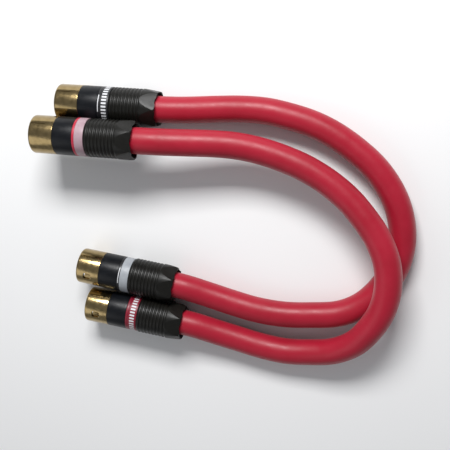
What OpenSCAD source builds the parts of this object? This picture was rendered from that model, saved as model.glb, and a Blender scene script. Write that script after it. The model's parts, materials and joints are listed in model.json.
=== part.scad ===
// A matched pair of short audio interconnect cables, each with one female and one male
// three-pole connector. The white cable lies flat, and the red cable rests on it.
// Each connector is drawn along +X, with its nose face at x = 0 and its cable mouth behind.

/* [Cable] */
// Outer diameter of the jacket
jacket_d = 13.6; // [13.4:0.1:13.8]
// Sides of the jacket's tube
jacket_sides = 12; // [8:2:12]

/* [Connector length] */
// Length of the gold nose
nose_l = 13; // [12.5:0.1:13.5]
// Length of the black barrel behind the nose
barrel_l = 10.6; // [10.2:0.1:11]
// Width of the thin ring behind the barrel
stripe_l = 1.3; // [1:0.1:1.5]
// Width of the coding band
band_l = 4.7; // [4.4:0.1:5]
// Length of the boot from the band to its mouth
boot_l = 24.6; // [24.4:0.1:25]

/* [Connector diameter] */
// Outer diameter of the male barrel
male_d = 19; // [18.8:0.1:19.2]
// Outer diameter of the female barrel
female_d = 19.6; // [19.2:0.1:19.6]
// Outer diameter of the boot
boot_d = 20; // [19.8:0.1:20]
// Bore of the metal shell
shell_bore_d = 16.2; // [16.1:0.05:16.3]

/* [Boot] */
// Number of ribs round the boot
ribs = 8; // [6:1:8]
// Distance from rib to rib
rib_pitch = 1.9; // [1.8:0.05:1.95]
// Depth of the groove between two ribs
rib_depth = 0.4; // [0.2:0.05:0.5]
// Diameter of the boot's bore behind its flared mouth
mouth_d = 15; // [14.8:0.1:15.2]

/* [Contacts] */
// Diameter of a male pin
pin_d = 2.4; // [2.3:0.05:2.4]
// Bore of a female socket
socket_d = 2.5; // [2.45:0.05:2.6]
// Radius of the circle that the three contacts stand on
contact_circle_r = 4.05; // [4:0.01:4.1]
// Distance from the nose face to the tip of a male pin
pin_setback = 1.6; // [1.2:0.1:2]

/* [Latch] */
// Length of the latch along the connector
latch_l = 5; // [4.5:0.1:5]
// Width of the latch
latch_w = 3.6; // [3.2:0.1:3.6]
// How far the latch stands out of the shell
latch_proud = 0.6; // [0.4:0.1:0.6]

/* [Hidden] */
$fn = 96;
male_r = male_d / 2;
female_r = female_d / 2;
boot_r = boot_d / 2;
bore_r = shell_bore_d / 2;
jacket_r = jacket_d / 2;
mouth_r = mouth_d / 2;

// The shell's rear tube runs inside the barrel, the rings and the boot's front end.
neck_r = 8.8;
sleeve_bore_r = 8.85;
insert_r = bore_r - 0.05;

barrel_end = nose_l + barrel_l;
stripe_end = barrel_end + stripe_l;
band_end = stripe_end + band_l;
mouth_x = band_end + boot_l;
neck_end = band_end + 3;
jacket_start = band_end + 1.5;
chuck_start = neck_end + 0.4;
chuck_end = chuck_start + 9;
chuck_r = 8.6;
chuck_slit = 1.2;
rib_start = band_end + 0.6;
rib_r = boot_r - 0.15;
tail_start = rib_start + ribs * rib_pitch + 0.3;
tail_flats = 6;
tail_flat_lean = 10;
tail_flat_r = 8.5;
flare_r = 8.8;
flare_l = 3.4;
gap = 0.03;

// Insulating insert and contacts
insert_end = 21;
male_insert_start = 12.6;
female_insert_start = 0.6;
socket_start = 1.8;
socket_end = 12;
socket_r = 1.95;
contact_end = 25;
cup_start = 22;
cup_r = 1.6;
cup_bore_r = 0.95;
contact_angles = [90, 180, 270];
core_r = 0.9;
core_bared_r = 0.6;

// Shell openings
window_x = 6.6;
window_l = 4.4;
window_w = 3.4;
key_line_l = 8.5;
key_line_w = 0.4;
key_line_depth = 0.3;

// Latch and its spring
latch_x = 8;
latch_flange_l = 7;
latch_flange_w = 5.2;
latch_flange_t = 1;
latch_flange_top = 7.5;
latch_gap = 0.15;
pocket_floor = 3.2;
spring_wire_d = 0.3;
spring_r = 1.2;
spring_turns = 5;

// Where each connector's nose face stands, its turn about Z, and the turn of its key about X
red_female_at = [-38.1, 42.9, 23.5];
red_female_yaw = -2.7;
red_female_roll = 135;
white_female_at = [-29.5, 58.5, 10];
white_female_yaw = -3.2;
white_female_roll = 135;
white_male_at = [-21.3, -29.8, 10];
white_male_yaw = -8.8;
white_male_roll = 17;
red_male_at = [-17.3, -51.6, 10];
red_male_yaw = -7.9;
red_male_roll = 14;
key_line_roll = -40;
white_female_tail_roll = 30;

// Steps between two points of a route
route_steps = 2;

function on_axis(at, yaw, x) = at + x * [cos(yaw), sin(yaw), 0];

// Route of the red cable's jacket, from inside the female boot to inside the male boot
red_route = concat(
    [for (x = [jacket_start, 45, 58]) on_axis(red_female_at, red_female_yaw, x)],
    [
        [30, 39.8, 22.8],
        [42, 39.5, 21.2],
        [54, 39.2, 19.6],
        [66, 38.3, 18.2],
        [78, 36, 17.2],
        [90, 32.3, 16.8],
        [101.5, 27.5, 16.8],
        [112.5, 21, 17],
        [122.5, 13, 17.6],
        [131, 3.5, 18.8],
        [137.5, -6, 19.8],
        [142, -17, 21],
        [143.2, -29, 21.5],
        [141, -41, 21],
        [135.5, -52, 18.9],
        [127.8, -61.8, 15],
        [116.8, -68.3, 11.4],
        [104, -71, 8.6],
        [91, -71.8, 7.3],
        [78, -70, 6.85],
        [65.5, -67, 6.9],
        [53, -63.5, 8],
    ],
    [for (x = [58, 45, jacket_start]) on_axis(red_male_at, red_male_yaw, x)]
);

// Route of the white cable's jacket, from inside the female boot to inside the male boot
white_route = concat(
    [for (x = [jacket_start, 45, 58]) on_axis(white_female_at, white_female_yaw, x)],
    [
        [40, 55.2, 9],
        [53, 55.6, 7.6],
        [66, 55.8, 6.85],
        [79, 55, 6.85],
        [91, 52.5, 6.85],
        [103, 48.8, 6.85],
        [114, 43.5, 6.85],
        [125, 36, 6.85],
        [135, 27, 6.85],
        [142.9, 16, 6.85],
        [147.8, 4, 6.85],
        [149.4, -9, 6.85],
        [147, -22, 6.85],
        [140.5, -33.5, 6.85],
        [131.3, -43.2, 6.85],
        [119.2, -49.1, 6.85],
        [104, -51, 6.85],
        [90, -51.5, 6.85],
        [76, -50, 6.85],
        [63, -47, 6.85],
        [49, -42.8, 7.8],
    ],
    [for (x = [58, 45, jacket_start]) on_axis(white_male_at, white_male_yaw, x)]
);

// A smooth curve through hand-set points

function spline_at(a, b, c, d, t) =
    0.5 * (2 * b + (c - a) * t + (2 * a - 5 * b + 4 * c - d) * t * t
        + (3 * b - a - 3 * c + d) * t * t * t);

function smooth(route) = [
    for (i = [0 : len(route) - 2])
        for (k = [0 : route_steps - (i == len(route) - 2 ? 0 : 1)])
            spline_at(
                route[max(i - 1, 0)],
                route[i],
                route[i + 1],
                route[min(i + 2, len(route) - 1)],
                k / route_steps
            )
];

function unit(v) = v / norm(v);

function heading(line, i) = unit(line[min(i + 1, len(line) - 1)] - line[max(i - 1, 0)]);

// A tube swept along a line, level at its sides, closed at both ends
module swept_tube(line, r, sides) {
    rings = [
        for (i = [0 : len(line) - 1])
            let (
                dir = heading(line, i),
                side = unit(cross([0, 0, 1], dir)),
                up = cross(dir, side)
            )
            for (k = [0 : sides - 1])
                line[i] + r * (side * cos(360 * k / sides) + up * sin(360 * k / sides))
    ];
    last = len(line) - 1;
    walls = [
        for (i = [0 : last - 1])
            for (k = [0 : sides - 1])
                let (n = (k + 1) % sides)
                [(i + 1) * sides + k, (i + 1) * sides + n, i * sides + n, i * sides + k]
    ];
    start_cap = [for (k = [0 : sides - 1]) k];
    end_cap = [for (k = [sides - 1 : -1 : 0]) last * sides + k];
    polyhedron(points = rings, faces = concat(walls, [start_cap, end_cap]), convexity = 8);
}

// Placing and turning

module place(at, yaw, roll = 0) {
    translate(at) rotate([0, 0, yaw]) rotate([roll, 0, 0]) children();
}

// Turns an outline of [radius, x] points about the X axis
module turned(outline) {
    rotate([0, 90, 0]) rotate_extrude() polygon(outline);
}

module rod(r, x0, x1) {
    translate([x0, 0, 0]) rotate([0, 90, 0]) cylinder(r = r, h = x1 - x0);
}

// Repeats a piece at the three contact places, with the key at the top
module at_contacts() {
    for (a = contact_angles)
        rotate([a, 0, 0]) translate([0, 0, contact_circle_r]) children();
}

// Parts of a connector

module shell_body(r) {
    turned([
        [bore_r, 0.4],
        [bore_r + 0.4, 0],
        [r - 0.45, 0],
        [r, 0.45],
        [r, nose_l - 0.2],
        [r - 0.2, nose_l],
        [neck_r, nose_l],
        [neck_r, neck_end],
        [bore_r, neck_end]
    ]);
}

// The fine line along the nose, turned from the top by its own angle
module key_line(r) {
    rotate([key_line_roll, 0, 0])
        translate([-1, -key_line_w / 2, r - key_line_depth])
            cube([key_line_l + 1, key_line_w, 2]);
}

module male_shell(roll) {
    difference() {
        shell_body(male_r);
        key_line(male_r);
        rotate([roll, 0, 0])
            translate([window_x - window_l / 2, -window_w / 2, 7])
                cube([window_l, window_w, 4]);
    }
}

module female_shell(roll) {
    opening_l = latch_l + 2 * latch_gap;
    opening_w = latch_w + 2 * latch_gap;
    difference() {
        shell_body(female_r);
        key_line(female_r);
        rotate([roll, 0, 0])
            translate([latch_x - opening_l / 2, -opening_w / 2, 7])
                cube([opening_l, opening_w, 4]);
    }
}

module barrel(r) {
    turned([
        [sleeve_bore_r, nose_l + gap],
        [r - 0.15, nose_l + gap],
        [r, nose_l + 0.2],
        [r, barrel_end - 0.2],
        [r - 0.15, barrel_end],
        [sleeve_bore_r, barrel_end]
    ]);
}

// A ring of the barrel's diameter
module ring(r, x0, x1) {
    turned([
        [sleeve_bore_r, x0 + gap],
        [r - 0.1, x0 + gap],
        [r, x0 + 0.15],
        [r, x1 - 0.15],
        [r - 0.1, x1],
        [sleeve_bore_r, x1]
    ]);
}

module male_insert() {
    difference() {
        rod(insert_r, male_insert_start, insert_end);
        at_contacts() rod(cup_r + gap, male_insert_start - 1, insert_end + 1);
    }
}

module female_insert() {
    pocket_l = latch_flange_l + 0.6;
    pocket_w = latch_flange_w + 0.4;
    key_w = 2;
    difference() {
        rod(insert_r, female_insert_start, insert_end);
        at_contacts() rod(socket_r + gap, female_insert_start - 1, socket_end + gap);
        at_contacts() rod(cup_r + gap, socket_end, insert_end + 1);
        translate([latch_x - pocket_l / 2, -pocket_w / 2, pocket_floor])
            cube([pocket_l, pocket_w, 6]);
        translate([0, -key_w / 2, 6.6])
            cube([3, key_w, 3]);
    }
}

module pins() {
    pin_r = pin_d / 2;
    at_contacts() turned([
        [0, pin_setback],
        [0.7, pin_setback + 0.1],
        [pin_r, pin_setback + 0.8],
        [pin_r, male_insert_start],
        [cup_r, male_insert_start],
        [cup_r, contact_end],
        [cup_bore_r, contact_end],
        [cup_bore_r, cup_start],
        [0, cup_start]
    ]);
}

module sockets() {
    at_contacts() turned([
        [socket_d / 2, socket_start],
        [socket_r, socket_start],
        [socket_r, socket_end],
        [cup_r, socket_end],
        [cup_r, contact_end],
        [cup_bore_r, contact_end],
        [cup_bore_r, cup_start],
        [0, cup_start],
        [0, socket_end - 0.5],
        [socket_d / 2, socket_end - 0.5]
    ]);
}

// The three insulated wires between the jacket's end and the solder cups
module cores() {
    at_contacts() turned([
        [0, cup_start + 0.5],
        [core_bared_r, cup_start + 0.5],
        [core_bared_r, contact_end + 0.3],
        [core_r, contact_end + 0.3],
        [core_r, jacket_start - 0.05],
        [0, jacket_start - 0.05]
    ]);
}

// The collet that the boot squeezes onto the jacket
module chuck() {
    difference() {
        turned([
            [jacket_r, chuck_start],
            [chuck_r, chuck_start],
            [chuck_r, chuck_end - 3],
            [chuck_r - 0.7, chuck_end],
            [jacket_r, chuck_end]
        ]);
        for (a = [45, 135])
            rotate([a, 0, 0])
                translate([chuck_start + 3, -chuck_slit / 2, -chuck_r - 1])
                    cube([chuck_end, chuck_slit, 2 * chuck_r + 2]);
    }
}

// tail_roll turns the tail's flats, the first of which is at the top
module boot(tail_roll = 0) {
    groove_r = rib_r - rib_depth;
    rib_flank = 0.25;
    rib_gap = 0.5;
    rib_top = rib_pitch - 2 * rib_flank - rib_gap;
    rib_outline = [
        for (i = [0 : ribs - 1])
            let (x = rib_start + i * rib_pitch)
            each [
                [groove_r, x],
                [rib_r, x + rib_flank],
                [rib_r, x + rib_flank + rib_top],
                [groove_r, x + 2 * rib_flank + rib_top]
            ]
    ];
    difference() {
        turned(concat(
            [[sleeve_bore_r, band_end + gap], [groove_r - 0.05, band_end + gap]],
            rib_outline,
            [
                [groove_r, tail_start],
                [boot_r, tail_start + 0.3],
                [boot_r, mouth_x - 1],
                [boot_r - 0.3, mouth_x - 0.3],
                [flare_r, mouth_x],
                [mouth_r, mouth_x - flare_l],
                [mouth_r, chuck_end + 0.4],
                [sleeve_bore_r, chuck_end + 0.4]
            ]
        ));
        for (k = [0 : tail_flats - 1])
            rotate([tail_roll + 360 * k / tail_flats, 0, 0])
                translate([mouth_x, -boot_r, tail_flat_r])
                    rotate([0, tail_flat_lean, 0])
                        translate([-boot_l, 0, 0])
                            cube([boot_l + 2, 2 * boot_r, boot_r]);
    }
}

// The catch of the female end, at rest, with the key side at the top
module latch() {
    top = female_r + latch_proud;
    bevel = 0.5;
    translate([latch_x, 0, 0]) {
        translate([-latch_flange_l / 2, -latch_flange_w / 2, latch_flange_top - latch_flange_t])
            cube([latch_flange_l, latch_flange_w, latch_flange_t]);
        rotate([90, 0, 0]) translate([0, 0, -latch_w / 2]) linear_extrude(latch_w)
            polygon([
                [-latch_l / 2, latch_flange_top - latch_flange_t / 2],
                [latch_l / 2, latch_flange_top - latch_flange_t / 2],
                [latch_l / 2, top - bevel],
                [latch_l / 2 - bevel, top],
                [-latch_l / 2 + 2 * bevel, top],
                [-latch_l / 2, top - 2 * bevel]
            ]);
    }
}

module spring() {
    low = pocket_floor + spring_wire_d / 2 + gap;
    high = latch_flange_top - latch_flange_t - spring_wire_d / 2 - gap;
    steps_a_turn = 12;
    count = spring_turns * steps_a_turn;
    coil = [
        for (i = [0 : count])
            let (a = 360 * i / steps_a_turn)
            [latch_x + spring_r * cos(a), spring_r * sin(a), low + (high - low) * i / count]
    ];
    swept_tube(coil, spring_wire_d / 2, 6);
}

// Sub-parts of the red cable

module in_red_female(roll = 0) {
    place(red_female_at, red_female_yaw, roll) children();
}

module in_red_male(roll = 0) {
    place(red_male_at, red_male_yaw, roll) children();
}

module red_jacket() { color("crimson") swept_tube(smooth(red_route), jacket_r, jacket_sides); }
module red_female_shell() { color("goldenrod") in_red_female() female_shell(red_female_roll); }
module red_female_barrel() { color("#15181c") in_red_female() barrel(female_r); }
module red_female_stripe() { color("firebrick") in_red_female() ring(female_r, barrel_end, stripe_end); }
module red_female_band() { color("mistyrose") in_red_female() ring(female_r, stripe_end, band_end); }
module red_female_insert() { color("#202020") in_red_female(red_female_roll) female_insert(); }
module red_female_sockets() { color("gold") in_red_female(red_female_roll) sockets(); }
module red_female_cores() { color("ivory") in_red_female(red_female_roll) cores(); }
module red_female_chuck() { color("#3a3a3a") in_red_female() chuck(); }
module red_female_boot() { color("#22211e") in_red_female() boot(); }
module red_female_latch() { color("goldenrod") in_red_female(red_female_roll) latch(); }
module red_female_spring() { color("silver") in_red_female(red_female_roll) spring(); }
module red_male_shell() { color("goldenrod") in_red_male() male_shell(red_male_roll); }
module red_male_barrel() { color("#15181c") in_red_male() barrel(male_r); }
module red_male_stripe() { color("darkred") in_red_male() ring(male_r, barrel_end, stripe_end); }
module red_male_band() { color("darkred") in_red_male() ring(male_r, stripe_end, band_end); }
module red_male_insert() { color("#202020") in_red_male(red_male_roll) male_insert(); }
module red_male_pins() { color("gold") in_red_male(red_male_roll) pins(); }
module red_male_cores() { color("ivory") in_red_male(red_male_roll) cores(); }
module red_male_chuck() { color("#3a3a3a") in_red_male() chuck(); }
module red_male_boot() { color("#22211e") in_red_male() boot(); }

// Sub-parts of the white cable

module in_white_female(roll = 0) {
    place(white_female_at, white_female_yaw, roll) children();
}

module in_white_male(roll = 0) {
    place(white_male_at, white_male_yaw, roll) children();
}

module white_jacket() { color("crimson") swept_tube(smooth(white_route), jacket_r, jacket_sides); }
module white_female_shell() { color("goldenrod") in_white_female() female_shell(white_female_roll); }
module white_female_barrel() { color("#15181c") in_white_female() barrel(female_r); }
module white_female_stripe() { color("#15181c") in_white_female() ring(female_r, barrel_end, stripe_end); }
module white_female_band() { color("#15181c") in_white_female() ring(female_r, stripe_end, band_end); }
module white_female_insert() { color("#202020") in_white_female(white_female_roll) female_insert(); }
module white_female_sockets() { color("gold") in_white_female(white_female_roll) sockets(); }
module white_female_cores() { color("ivory") in_white_female(white_female_roll) cores(); }
module white_female_chuck() { color("#3a3a3a") in_white_female() chuck(); }
module white_female_boot() { color("#22211e") in_white_female() boot(white_female_tail_roll); }
module white_female_latch() { color("goldenrod") in_white_female(white_female_roll) latch(); }
module white_female_spring() { color("silver") in_white_female(white_female_roll) spring(); }
module white_male_shell() { color("goldenrod") in_white_male() male_shell(white_male_roll); }
module white_male_barrel() { color("#15181c") in_white_male() barrel(male_r); }
module white_male_stripe() { color("#15181c") in_white_male() ring(male_r, barrel_end, stripe_end); }
module white_male_band() { color("gainsboro") in_white_male() ring(male_r, stripe_end, band_end); }
module white_male_insert() { color("#202020") in_white_male(white_male_roll) male_insert(); }
module white_male_pins() { color("gold") in_white_male(white_male_roll) pins(); }
module white_male_cores() { color("ivory") in_white_male(white_male_roll) cores(); }
module white_male_chuck() { color("#3a3a3a") in_white_male() chuck(); }
module white_male_boot() { color("#22211e") in_white_male() boot(); }

red_jacket();
red_female_shell();
red_female_barrel();
red_female_stripe();
red_female_band();
red_female_insert();
red_female_sockets();
red_female_cores();
red_female_chuck();
red_female_boot();
red_female_latch();
red_female_spring();
red_male_shell();
red_male_barrel();
red_male_stripe();
red_male_band();
red_male_insert();
red_male_pins();
red_male_cores();
red_male_chuck();
red_male_boot();
white_jacket();
white_female_shell();
white_female_barrel();
white_female_stripe();
white_female_band();
white_female_insert();
white_female_sockets();
white_female_cores();
white_female_chuck();
white_female_boot();
white_female_latch();
white_female_spring();
white_male_shell();
white_male_barrel();
white_male_stripe();
white_male_band();
white_male_insert();
white_male_pins();
white_male_cores();
white_male_chuck();
white_male_boot();
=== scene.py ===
"""Looks of the matched XLR interconnect cables: jackets, turned connector pieces, materials, camera."""

import json
import math

import bmesh
import bpy
from mathutils import Matrix, Vector


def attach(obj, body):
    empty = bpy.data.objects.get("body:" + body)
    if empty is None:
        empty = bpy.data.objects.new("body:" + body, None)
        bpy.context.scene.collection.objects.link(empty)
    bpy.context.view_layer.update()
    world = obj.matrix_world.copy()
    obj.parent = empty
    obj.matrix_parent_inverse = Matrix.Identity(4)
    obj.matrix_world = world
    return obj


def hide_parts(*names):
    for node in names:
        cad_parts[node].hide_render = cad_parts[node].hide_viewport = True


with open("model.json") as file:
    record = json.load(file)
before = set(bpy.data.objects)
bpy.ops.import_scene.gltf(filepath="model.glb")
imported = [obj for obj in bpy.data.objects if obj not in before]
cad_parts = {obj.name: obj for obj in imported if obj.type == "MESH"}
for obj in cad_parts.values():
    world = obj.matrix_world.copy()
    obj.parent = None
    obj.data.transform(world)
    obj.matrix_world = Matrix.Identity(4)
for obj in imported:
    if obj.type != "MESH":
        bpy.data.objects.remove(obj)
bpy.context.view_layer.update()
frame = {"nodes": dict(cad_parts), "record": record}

MM = 0.001
scene = bpy.context.scene
mounts = {m["name"]: m for m in frame["record"]["mounts"]}
nodes = frame["nodes"]

# ---------------------------------------------------------------- sizes, in millimetres

JACKET_D = 13.6
NOSE_L = 13
BARREL_END = 23.6
STRIPE_END = 24.9
BAND_END = 29.6
MOUTH_X = 54.2
NECK_R = 8.8
SLEEVE_BORE_R = 8.85
SHELL_BORE_R = 8.1
NECK_END = 32.6
CHUCK_END = 42
MALE_R = 9.5
FEMALE_R = 9.8
BOOT_R = 10
MOUTH_R = 7.5
FLARE_R = 8.8
FLARE_L = 3.4
RIB_R = 9.85
RIBS = 8
RIB_PITCH = 1.9
RIB_START = 30.2
RIB_DEPTH = 0.4
RIB_FLANK = 0.25
RIB_GAP = 0.5
TAIL_START = 45.7
TAIL_FLATS = 6
TAIL_FLAT_R = 8.5
TAIL_FLAT_LEAN = 10
JACKET_START = 31.1
SEAM = 0.03
SOFT_EDGE = 35
KEY_LINE_ANGLE = 40
KEY_LINE_L = 8.5
KEY_LINE_W = 0.4
KEY_LINE_DEPTH = 0.3
LATCH_SLOT = {"size": (5.3, 3.9), "x": 8, "corner": 0.3}
WINDOW = {"size": (4.4, 3.4), "x": 6.6, "corner": 0.9}
PRINT_PROUD = 0.03
PRINT_SUNK = 0.05
# Painted highlight: a short white arc on the thin ring's upper side, where its step edge catches the key
# light.
PAINTED_HIGHLIGHT_X = BARREL_END + 0.45
PAINTED_HIGHLIGHT_W = 0.4
PAINTED_HIGHLIGHT_ARC = (10, 26)
TICKS = 36
TICK_HALF_ANGLE = 2.7

CONNECTORS = {
    "red_female": {"body": "red_cable", "r": FEMALE_R, "face": "red_female_face", "tail_turn": 0},
    "red_male": {"body": "red_cable", "r": MALE_R, "face": "red_male_shell_mouth", "tail_turn": 0},
    "white_female": {"body": "white_cable", "r": FEMALE_R, "face": "white_female_face", "tail_turn": 30},
    "white_male": {"body": "white_cable", "r": MALE_R, "face": "white_male_shell_mouth", "tail_turn": 0},
}

# ---------------------------------------------------------------- places, from the frame


def face_matrix(connector, roll_to_key=False):
    """The connector's own frame: origin at the nose face, +X towards the cable.

    +Z is up, or towards the key, which is opposite contact 3.
    """
    face = mounts[CONNECTORS[connector]["face"]]
    x_axis = -Vector(face["axis"]).normalized()
    origin = Vector(face["pos_m"])
    up = Vector((0, 0, 1))
    if roll_to_key:
        contact = "socket" if "female" in connector else "pin"
        opposite_key = Vector(mounts[f"{connector}_{contact}_3"]["pos_m"])
        away = opposite_key - origin
        up = -(away - away.dot(x_axis) * x_axis).normalized()
    y_axis = up.cross(x_axis).normalized()
    z_axis = x_axis.cross(y_axis)
    turn = Matrix((x_axis, y_axis, z_axis)).transposed().to_4x4()
    return Matrix.Translation(origin) @ turn


def on_axis(connector, x):
    """The point x millimetres behind the nose face, on the connector's axis, in millimetres."""
    return tuple(face_matrix(connector) @ Vector((x * MM, 0, 0)) / MM)


# ---------------------------------------------------------------- camera

# FOCAL_SHARE is the focal length over the picture's width. It was picked from a range of fits that
# match the photo about equally well, and the lean and the distance belong to it.
LOOK_AT = Vector((57, -6, 0)) * MM
CAMERA_DISTANCE = 0.386
CAMERA_LEAN = 12
FOCAL_SHARE = 1.6


def add_camera():
    """The camera looks almost straight down, leaning towards +X and +Y."""
    lean = math.tan(math.radians(CAMERA_LEAN))
    back = Vector((lean, lean, 1)).normalized()
    right = Vector((0, 1, 0)).cross(back).normalized()
    up = back.cross(right)
    data = bpy.data.cameras.new("camera")
    data.sensor_width = 36
    data.lens = FOCAL_SHARE * data.sensor_width
    data.clip_start = 0.01
    camera = bpy.data.objects.new("camera", data)
    turn = Matrix((right, up, back)).transposed().to_4x4()
    camera.matrix_world = Matrix.Translation(LOOK_AT + CAMERA_DISTANCE * back) @ turn
    scene.collection.objects.link(camera)
    scene.camera = camera


# ---------------------------------------------------------------- material helpers


def new_material(name):
    material = bpy.data.materials.new(name)
    material.use_nodes = True
    tree = material.node_tree
    shader = tree.nodes["Principled BSDF"]
    return material, tree, shader


def coordinates(tree, scale=(1, 1, 1)):
    """Object coordinates, which follow the piece, stretched by scale."""
    source = tree.nodes.new("ShaderNodeTexCoord")
    mapping = tree.nodes.new("ShaderNodeMapping")
    mapping.inputs["Scale"].default_value = scale
    tree.links.new(source.outputs["Object"], mapping.inputs["Vector"])
    return mapping.outputs["Vector"]


def noise(tree, vector, scale, detail=4, roughness=0.55):
    texture = tree.nodes.new("ShaderNodeTexNoise")
    texture.inputs["Scale"].default_value = scale
    texture.inputs["Detail"].default_value = detail
    texture.inputs["Roughness"].default_value = roughness
    tree.links.new(vector, texture.inputs["Vector"])
    return texture.outputs["Fac"]


def ramp(tree, value, stops):
    """Colours or greys along a value from 0 to 1."""
    node = tree.nodes.new("ShaderNodeValToRGB")
    elements = node.color_ramp.elements
    while len(elements) < len(stops):
        elements.new(0.5)
    for element, (place, colour) in zip(elements, stops):
        element.position = place
        element.color = (*colour, 1) if hasattr(colour, "__len__") else (colour,) * 3 + (1,)
    tree.links.new(value, node.inputs["Fac"])
    return node.outputs["Color"]


def bump(tree, shader, height, distance, strength, before=None):
    """Relief from a height, on top of the relief called before."""
    node = tree.nodes.new("ShaderNodeBump")
    node.inputs["Distance"].default_value = distance
    node.inputs["Strength"].default_value = strength
    tree.links.new(height, node.inputs["Height"])
    if before:
        tree.links.new(before, node.inputs["Normal"])
    tree.links.new(node.outputs["Normal"], shader.inputs["Normal"])
    return node.outputs["Normal"]


def turned_lines(tree, scale):
    """Fine rings round the X axis, as a lathe leaves them."""
    wave = tree.nodes.new("ShaderNodeTexWave")
    wave.wave_type = "BANDS"
    wave.bands_direction = "X"
    wave.inputs["Scale"].default_value = scale
    wave.inputs["Distortion"].default_value = 0.6
    wave.inputs["Detail"].default_value = 2
    tree.links.new(coordinates(tree), wave.inputs["Vector"])
    return wave.outputs["Fac"]


# ---------------------------------------------------------------- materials


def jacket_material():
    """Soft matt PVC, a little mottled, with a fine extruded grain."""
    material, tree, shader = new_material("jacket_red")
    at = coordinates(tree)
    mottle = noise(tree, at, 45, 3)
    colour = ramp(tree, mottle, [(0.3, (0.31, 0.006, 0.02)), (0.7, (0.37, 0.01, 0.029))])
    tree.links.new(colour, shader.inputs["Base Color"])
    rough = ramp(tree, noise(tree, at, 160, 3), [(0.3, 0.36), (0.7, 0.48)])
    tree.links.new(rough, shader.inputs["Roughness"])
    grain = noise(tree, at, 2600, 5, 0.7)
    soft = noise(tree, at, 240, 3)
    first = bump(tree, shader, grain, 0.00006, 0.5)
    bump(tree, shader, soft, 0.0004, 0.25, first)
    shader.inputs["Specular IOR Level"].default_value = 0.34
    shader.inputs["Sheen Weight"].default_value = 0.12
    shader.inputs["Sheen Roughness"].default_value = 0.4
    return material


def gold_material(name, dark, light, rough):
    """Polished gold plate with turning marks, faint smears and small scratches."""
    material, tree, shader = new_material(name)
    at = coordinates(tree)
    smear = noise(tree, at, 300, 4)
    colour = ramp(tree, smear, [(0.3, dark), (0.7, light)])
    tree.links.new(colour, shader.inputs["Base Color"])
    shader.inputs["Metallic"].default_value = 1
    roughness = ramp(tree, noise(tree, at, 500, 5), [(0.35, rough), (0.75, rough + 0.12)])
    tree.links.new(roughness, shader.inputs["Roughness"])
    lines = turned_lines(tree, 900)
    streaks = noise(tree, coordinates(tree, (400, 2500, 2500)), 1, 3)
    first = bump(tree, shader, lines, 0.00001, 0.35)
    bump(tree, shader, streaks, 0.00002, 0.25, first)
    return material


def plastic_material(name, dark, light, rough, grain=1800, depth=0.00003, specular=0.5):
    """Moulded plastic with a fine grain, a little uneven in tone."""
    material, tree, shader = new_material(name)
    at = coordinates(tree)
    colour = ramp(tree, noise(tree, at, 260, 4), [(0.3, dark), (0.7, light)])
    tree.links.new(colour, shader.inputs["Base Color"])
    roughness = ramp(tree, noise(tree, at, 700, 4), [(0.3, rough), (0.7, rough + 0.12)])
    tree.links.new(roughness, shader.inputs["Roughness"])
    bump(tree, shader, noise(tree, at, grain, 5, 0.7), depth, 0.5)
    shader.inputs["Specular IOR Level"].default_value = specular
    return material


def barrel_material():
    """Satin black finish over turned metal."""
    material, tree, shader = new_material("barrel_black")
    at = coordinates(tree)
    tones = [(0.3, (0.003, 0.0035, 0.005)), (0.7, (0.005, 0.006, 0.008))]
    colour = ramp(tree, noise(tree, at, 200, 3), tones)
    tree.links.new(colour, shader.inputs["Base Color"])
    roughness = ramp(tree, noise(tree, at, 600, 4), [(0.3, 0.3), (0.7, 0.42)])
    tree.links.new(roughness, shader.inputs["Roughness"])
    bump(tree, shader, turned_lines(tree, 700), 0.00001, 0.3)
    shader.inputs["Specular IOR Level"].default_value = 0.22
    return material


def steel_material(name, tone, rough):
    """Bright drawn steel."""
    material, tree, shader = new_material(name)
    at = coordinates(tree)
    colour = ramp(tree, noise(tree, at, 500, 3), [(0.3, tone * 0.85), (0.7, tone)])
    tree.links.new(colour, shader.inputs["Base Color"])
    shader.inputs["Metallic"].default_value = 1
    roughness = ramp(tree, noise(tree, at, 900, 4), [(0.3, rough), (0.7, rough + 0.1)])
    tree.links.new(roughness, shader.inputs["Roughness"])
    bump(tree, shader, noise(tree, at, 3000, 4), 0.00001, 0.4)
    return material


def floor_material():
    material, tree, shader = new_material("floor")
    at = coordinates(tree)
    colour = ramp(tree, noise(tree, at, 3, 2), [(0.3, 0.8), (0.7, 0.83)])
    tree.links.new(colour, shader.inputs["Base Color"])
    shader.inputs["Roughness"].default_value = 0.9
    shader.inputs["Specular IOR Level"].default_value = 0.1
    return material


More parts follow.
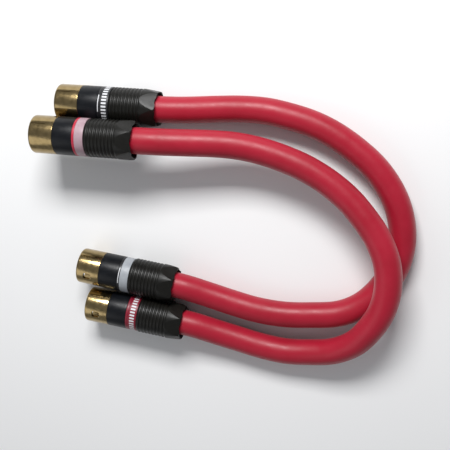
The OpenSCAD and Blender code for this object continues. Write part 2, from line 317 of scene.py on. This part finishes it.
MATERIALS = {
    "jacket": jacket_material(),
    "gold": gold_material("gold_plate", (0.3, 0.22, 0.1), (0.4, 0.3, 0.15), 0.15),
    "contact": gold_material("contact_gold", (0.6, 0.42, 0.16), (0.7, 0.5, 0.2), 0.2),
    "barrel": barrel_material(),
    "boot": plastic_material(
        "boot_black", (0.0045, 0.0043, 0.0035), (0.0075, 0.007, 0.0055), 0.32, specular=0.26
    ),
    "band_pale": plastic_material("band_pale", (0.32, 0.21, 0.24), (0.38, 0.265, 0.3), 0.34),
    "band_red": plastic_material("band_red", (0.17, 0.004, 0.016), (0.23, 0.007, 0.024), 0.34),
    "band_black": plastic_material("band_black", (0.008, 0.008, 0.01), (0.013, 0.013, 0.015), 0.34),
    "band_white": plastic_material("band_white", (0.27, 0.29, 0.315), (0.33, 0.35, 0.375), 0.34),
    "stripe_red": plastic_material("stripe_red", (0.36, 0.01, 0.03), (0.45, 0.018, 0.045), 0.34),
    # White for the printed ticks, and for the painted highlight arcs.
    "print_and_highlight_white": plastic_material("print_and_highlight_white", (0.55, 0.56, 0.58), (0.68, 0.69, 0.71), 0.4),
    "insert": plastic_material("insert_black", (0.018, 0.018, 0.019), (0.03, 0.03, 0.031), 0.5),
    "core": plastic_material("core_white", (0.66, 0.63, 0.55), (0.76, 0.74, 0.67), 0.35),
    "chuck": plastic_material("chuck_grey", (0.05, 0.05, 0.05), (0.08, 0.08, 0.08), 0.5),
    "steel": steel_material("spring_steel", 0.6, 0.25),
}

# ---------------------------------------------------------------- mesh helpers


def rounded(outline, radius, steps=4):
    """A closed outline of (radius, x) points with every corner eased by up to radius."""
    result = []
    count = len(outline)
    for i in range(count):
        before, corner, after = (Vector(outline[(i + k) % count]) for k in (-1, 0, 1))
        to_before, to_after = before - corner, after - corner
        if abs(to_before.normalized().dot(to_after.normalized())) > 0.999:
            result.append(tuple(corner))
            continue
        ease = min(radius, 0.45 * to_before.length, 0.45 * to_after.length)
        a = corner + ease * to_before.normalized()
        b = corner + ease * to_after.normalized()
        for k in range(steps + 1):
            t = k / steps
            result.append(tuple((1 - t) ** 2 * a + 2 * t * (1 - t) * corner + t**2 * b))
    return result


def finish_mesh(name, bm, matrix, material):
    """The mesh as a piece with its material, smooth except across sharp edges."""
    bmesh.ops.recalc_face_normals(bm, faces=bm.faces)
    mesh = bpy.data.meshes.new(name)
    bm.to_mesh(mesh)
    bm.free()
    mesh.materials.append(material)
    for polygon in mesh.polygons:
        polygon.use_smooth = True
    mesh.set_sharp_from_angle(angle=math.radians(SOFT_EDGE))
    piece = bpy.data.objects.new(name, mesh)
    scene.collection.objects.link(piece)
    piece.matrix_world = matrix
    return piece


def turned(name, outline, matrix, material, segments=192):
    """An outline of (radius, x) millimetre points turned about X."""
    bm = bmesh.new()
    rings = []
    for k in range(segments):
        angle = math.tau * k / segments
        ring = []
        for r, x in outline:
            ring.append(bm.verts.new((x * MM, r * MM * math.sin(angle), r * MM * math.cos(angle))))
        rings.append(ring)
    count = len(outline)
    for k in range(segments):
        here, there = rings[k], rings[(k + 1) % segments]
        for i in range(count):
            j = (i + 1) % count
            bm.faces.new((here[i], there[i], there[j], here[j]))
    return finish_mesh(name, bm, matrix, material)


def cutting_block(bm):
    mesh = bpy.data.meshes.new("cutter")
    bm.to_mesh(mesh)
    bm.free()
    block = bpy.data.objects.new("cutter", mesh)
    scene.collection.objects.link(block)
    return block


def cutter(size, at, turn, bevel):
    """A bevelled block, in the connector's frame, to cut with. Sizes in millimetres."""
    bm = bmesh.new()
    bmesh.ops.create_cube(bm, size=1)
    bmesh.ops.scale(bm, vec=Vector(size) * MM, verts=bm.verts)
    if bevel:
        upright = [e for e in bm.edges if abs(e.verts[0].co.z - e.verts[1].co.z) > 0.5 * size[2] * MM]
        bmesh.ops.bevel(bm, geom=upright, offset=bevel * MM, segments=5, profile=0.5, affect="EDGES")
    bmesh.ops.translate(bm, vec=Vector(at) * MM, verts=bm.verts)
    bmesh.ops.rotate(bm, cent=(0, 0, 0), matrix=Matrix.Rotation(math.radians(turn), 3, "X"), verts=bm.verts)
    return cutting_block(bm)


def cut(piece, block, matrix):
    """The piece without what the block covers. The block is used up."""
    block.matrix_world = matrix
    modifier = piece.modifiers.new("cut", "BOOLEAN")
    modifier.operation = "DIFFERENCE"
    modifier.solver = "EXACT"
    modifier.object = block
    with bpy.context.temp_override(object=piece, active_object=piece, selected_objects=[piece]):
        bpy.ops.object.modifier_apply(modifier=modifier.name)
    bpy.data.objects.remove(block)
    piece.data.set_sharp_from_angle(angle=math.radians(SOFT_EDGE))


def keep(piece, body, slot_name, *replaced):
    """The piece rides its body and stands for the CAD nodes it replaces."""
    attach(piece, body)
    if replaced:
        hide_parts(*replaced)


# ---------------------------------------------------------------- jackets

RED_ROUTE = [
    (30, 39.8, 22.8), (42, 39.5, 21.2), (54, 39.2, 19.6), (66, 38.3, 18.2), (78, 36, 17.2),
    (90, 32.3, 16.8), (101.5, 27.5, 16.8), (112.5, 21, 17), (122.5, 13, 17.6), (131, 3.5, 18.8),
    (137.5, -6, 19.8), (142, -17, 21), (143.2, -29, 21.5), (141, -41, 21), (135.5, -52, 18.9),
    (127.8, -61.8, 15), (116.8, -68.3, 11.4), (104, -71, 8.6), (91, -71.8, 7.3), (78, -70, 6.85),
    (65.5, -67, 6.9), (53, -63.5, 8),
]
WHITE_ROUTE = [
    (40, 55.2, 9), (53, 55.6, 7.6), (66, 55.8, 6.85), (79, 55, 6.85), (91, 52.5, 6.85),
    (103, 48.8, 6.85), (114, 43.5, 6.85), (125, 36, 6.85), (135, 27, 6.85), (142.9, 16, 6.85),
    (147.8, 4, 6.85), (149.4, -9, 6.85), (147, -22, 6.85), (140.5, -33.5, 6.85),
    (131.3, -43.2, 6.85), (119.2, -49.1, 6.85), (104, -51, 6.85), (90, -51.5, 6.85),
    (76, -50, 6.85), (63, -47, 6.85), (49, -42.8, 7.8),
]


def spline_at(a, b, c, d, t):
    return 0.5 * (2 * b + (c - a) * t + (2 * a - 5 * b + 4 * c - d) * t**2 + (3 * b - a - 3 * c + d) * t**3)


def smooth(points, steps=8):
    line = []
    for i in range(len(points) - 1):
        near = [points[min(max(i + k, 0), len(points) - 1)] for k in (-1, 0, 1, 2)]
        line += [spline_at(*near, k / steps) for k in range(steps)]
    return line + [points[-1]]


def add_jacket(colour, route):
    female, male = f"{colour}_female", f"{colour}_male"
    inside = (JACKET_START, 45, 58)
    points = [on_axis(female, x) for x in inside] + route + [on_axis(male, x) for x in reversed(inside)]
    line = smooth([Vector(p) * MM for p in points])
    curve = bpy.data.curves.new(f"{colour}_jacket_skin", "CURVE")
    curve.dimensions = "3D"
    curve.bevel_depth = JACKET_D * MM / 2
    curve.bevel_resolution = 14
    curve.use_fill_caps = True
    spline = curve.splines.new("POLY")
    spline.points.add(len(line) - 1)
    for point, place in zip(spline.points, line):
        point.co = (*place, 1)
    spline.use_smooth = True
    curve.materials.append(MATERIALS["jacket"])
    piece = bpy.data.objects.new(f"{colour}_jacket_skin", curve)
    scene.collection.objects.link(piece)
    keep(piece, f"{colour}_cable", "jacket", f"{colour}_jacket")


# ---------------------------------------------------------------- connectors


def shell_outline(r):
    return [
        (SHELL_BORE_R, 0.25), (SHELL_BORE_R + 0.2, 0), (r - 0.85, 0), (r - 0.25, 0.25), (r, 0.9),
        (r, NOSE_L - 0.15), (r - 0.15, NOSE_L), (NECK_R, NOSE_L), (NECK_R, NECK_END),
        (SHELL_BORE_R, NECK_END),
    ]


def add_shell(connector):
    facts = CONNECTORS[connector]
    r = facts["r"]
    upright = face_matrix(connector)
    keyed = face_matrix(connector, roll_to_key=True)
    outline = rounded(shell_outline(r), 0.35)
    piece = turned(f"{connector}_nose", outline, upright, MATERIALS["gold"])
    line_at = (KEY_LINE_L / 2 - 0.5, 0, r - KEY_LINE_DEPTH + 1)
    cut(piece, cutter((KEY_LINE_L + 1, KEY_LINE_W, 2), line_at, -KEY_LINE_ANGLE, 0), upright)
    hole = LATCH_SLOT if "female" in connector else WINDOW
    cut(piece, cutter((*hole["size"], 4), (hole["x"], 0, 9), 0, hole["corner"]), keyed)
    keep(piece, facts["body"], "gold_plate", f"{connector}_shell")


def add_barrel(connector):
    facts = CONNECTORS[connector]
    r = facts["r"]
    front = NOSE_L + SEAM
    corners = [(SLEEVE_BORE_R, front), (r, front), (r, BARREL_END), (SLEEVE_BORE_R, BARREL_END)]
    outline = rounded(corners, 0.2)
    piece = turned(f"{connector}_sleeve", outline, face_matrix(connector), MATERIALS["barrel"])
    keep(piece, facts["body"], "barrel_black", f"{connector}_barrel")


def add_ring(connector, kind, x0, x1, look):
    facts = CONNECTORS[connector]
    r = facts["r"]
    outline = rounded([(SLEEVE_BORE_R, x0 + SEAM), (r, x0 + SEAM), (r, x1), (SLEEVE_BORE_R, x1)], 0.18)
    piece = turned(f"{connector}_{kind}_ring", outline, face_matrix(connector), MATERIALS[look])
    keep(piece, facts["body"], look, f"{connector}_{kind}")


def add_print_and_highlight_marks(connector, name, marks, x0, x1):
    """Thin white marks on a ring, for printed ticks and for a painted highlight. marks are (middle, half
    width) in degrees from the top.
    """
    facts = CONNECTORS[connector]
    outer = facts["r"] + PRINT_PROUD
    inner = outer - PRINT_PROUD - PRINT_SUNK
    steps = 12
    bm = bmesh.new()
    for middle, half in marks:
        rows = []
        for i in range(steps + 1):
            angle = math.radians(middle - half + 2 * half * i / steps)
            across = (math.sin(angle), math.cos(angle))
            rows.append([
                bm.verts.new((x * MM, radius * MM * across[0], radius * MM * across[1]))
                for radius, x in ((outer, x0), (outer, x1), (inner, x1), (inner, x0))
            ])
        for near, far in zip(rows, rows[1:]):
            for i in range(4):
                bm.faces.new((near[i], near[(i + 1) % 4], far[(i + 1) % 4], far[i]))
        bm.faces.new(rows[0])
        bm.faces.new(list(reversed(rows[-1])))
    piece = finish_mesh(f"{connector}_{name}", bm, face_matrix(connector), MATERIALS["print_and_highlight_white"])
    keep(piece, facts["body"], "band_white")


def add_painted_highlight_arc(connector):
    """A painted highlight: the short white line on a thin ring's upper side, where the ring's step edge
    catches the light.
    """
    add_print_and_highlight_marks(connector, "arc", [PAINTED_HIGHLIGHT_ARC], PAINTED_HIGHLIGHT_X, PAINTED_HIGHLIGHT_X + PAINTED_HIGHLIGHT_W)


def add_ticks(connector):
    """Plain marks round a band, evenly spaced, where the real one has lettering."""
    marks = [(360 * k / TICKS, TICK_HALF_ANGLE) for k in range(TICKS)]
    add_print_and_highlight_marks(connector, "ticks", marks, STRIPE_END + 1.1, BAND_END - 1)


def boot_outline():
    groove = RIB_R - RIB_DEPTH
    top = RIB_PITCH - 2 * RIB_FLANK - RIB_GAP
    outline = [(SLEEVE_BORE_R, BAND_END + SEAM), (groove - 0.05, BAND_END + SEAM)]
    for i in range(RIBS):
        x = RIB_START + i * RIB_PITCH
        outline += [
            (groove, x), (RIB_R, x + RIB_FLANK),
            (RIB_R, x + RIB_FLANK + top), (groove, x + 2 * RIB_FLANK + top),
        ]
    outline += [
        (groove, TAIL_START), (BOOT_R, TAIL_START + 0.3),
        (BOOT_R, MOUTH_X - 1), (BOOT_R - 0.3, MOUTH_X - 0.3),
        (FLARE_R + 0.1, MOUTH_X), (FLARE_R, MOUTH_X),
        (MOUTH_R, MOUTH_X - FLARE_L), (MOUTH_R, CHUCK_END + 0.4),
        (SLEEVE_BORE_R, CHUCK_END + 0.4),
    ]
    return rounded(outline, 0.22, 3)


def tail_cutter(turn):
    """The block beyond the tail's leaning flats, as one closed ring of wedges."""
    lean = math.tan(math.radians(TAIL_FLAT_LEAN))
    front, back = MOUTH_X + 1, MOUTH_X - 14
    sides = []
    for k in range(TAIL_FLATS):
        angle = math.radians(turn + (k + 0.5) * 360 / TAIL_FLATS)
        ring = []
        for x, outer in ((front, False), (back, False), (back, True), (front, True)):
            r = 14 if outer else TAIL_FLAT_R + lean * (MOUTH_X - x)
            r /= math.cos(math.pi / TAIL_FLATS)
            ring.append((x, r * math.sin(angle), r * math.cos(angle)))
        sides.append(ring)
    bm = bmesh.new()
    verts = [[bm.verts.new(Vector(p) * MM) for p in ring] for ring in sides]
    for k in range(TAIL_FLATS):
        here, there = verts[k], verts[(k + 1) % TAIL_FLATS]
        for i in range(4):
            j = (i + 1) % 4
            bm.faces.new((here[i], there[i], there[j], here[j]))
    bmesh.ops.recalc_face_normals(bm, faces=bm.faces)
    return cutting_block(bm)


def add_boot(connector):
    facts = CONNECTORS[connector]
    upright = face_matrix(connector)
    piece = turned(f"{connector}_grip", boot_outline(), upright, MATERIALS["boot"])
    cut(piece, tail_cutter(facts["tail_turn"]), upright)
    soften = piece.modifiers.new("soften", "BEVEL")
    soften.width = 0.18 * MM
    soften.segments = 2
    soften.limit_method = "ANGLE"
    soften.angle_limit = math.radians(14)
    soften.use_clamp_overlap = True
    keep(piece, facts["body"], "boot_black", f"{connector}_boot")


def dress_cad_nodes():
    """The inner pieces keep their CAD shapes and take detailed materials."""
    looks = {
        "insert": "insert", "sockets": "contact", "pins": "contact", "cores": "core", "chuck": "chuck",
        "latch": "gold", "spring": "steel",
    }
    for name, node in nodes.items():
        look = looks.get(name.split("_")[-1])
        if look:
            node.data.materials.clear()
            node.data.materials.append(MATERIALS[look])
            for polygon in node.data.polygons:
                polygon.use_smooth = True
            node.data.set_sharp_from_angle(angle=math.radians(30))


# ---------------------------------------------------------------- studio


def add_floor():
    bm = bmesh.new()
    bmesh.ops.create_grid(bm, x_segments=2, y_segments=2, size=2)
    floor = finish_mesh("floor", bm, Matrix.Translation((0, 0, -0.0001)), floor_material())


def add_area_light(name, at, towards, size, power):
    data = bpy.data.lights.new(name, "AREA")
    data.shape = "RECTANGLE"
    data.size, data.size_y = size
    data.energy = power
    light = bpy.data.objects.new(name, data)
    aim = Vector(towards) - Vector(at)
    light.rotation_euler = aim.to_track_quat("-Z", "Y").to_euler()
    light.location = at
    scene.collection.objects.link(light)


def add_studio():
    add_floor()
    middle = (0.06, 0, 0)
    add_area_light("key", (0.04, 0.48, 0.46), middle, (0.34, 0.18), 5.6)
    add_area_light("fill", (-0.7, -0.5, 0.8), middle, (0.8, 0.8), 2)
    world = bpy.data.worlds.new("studio")
    scene.world = world
    world.use_nodes = True
    background = world.node_tree.nodes["Background"]
    background.inputs["Color"].default_value = (0.92, 0.95, 1, 1)
    background.inputs["Strength"].default_value = 0.27
    scene.view_settings.view_transform = "Standard"


# ---------------------------------------------------------------- the whole

add_camera()
add_jacket("red", RED_ROUTE)
add_jacket("white", WHITE_ROUTE)

BAND_LOOKS = {
    "red_female": ("stripe_red", "band_pale"),
    "red_male": ("band_red", "band_red"),
    "white_female": ("band_black", "band_black"),
    "white_male": ("band_black", "band_white"),
}
for connector, (stripe_look, band_look) in BAND_LOOKS.items():
    add_shell(connector)
    add_barrel(connector)
    add_ring(connector, "stripe", BARREL_END, STRIPE_END, stripe_look)
    add_ring(connector, "band", STRIPE_END, BAND_END, band_look)
    add_boot(connector)
# Painted highlights on the white connectors' thin rings.
add_painted_highlight_arc("white_female")
add_painted_highlight_arc("white_male")
add_ticks("white_female")
add_ticks("red_male")
dress_cad_nodes()
add_studio()
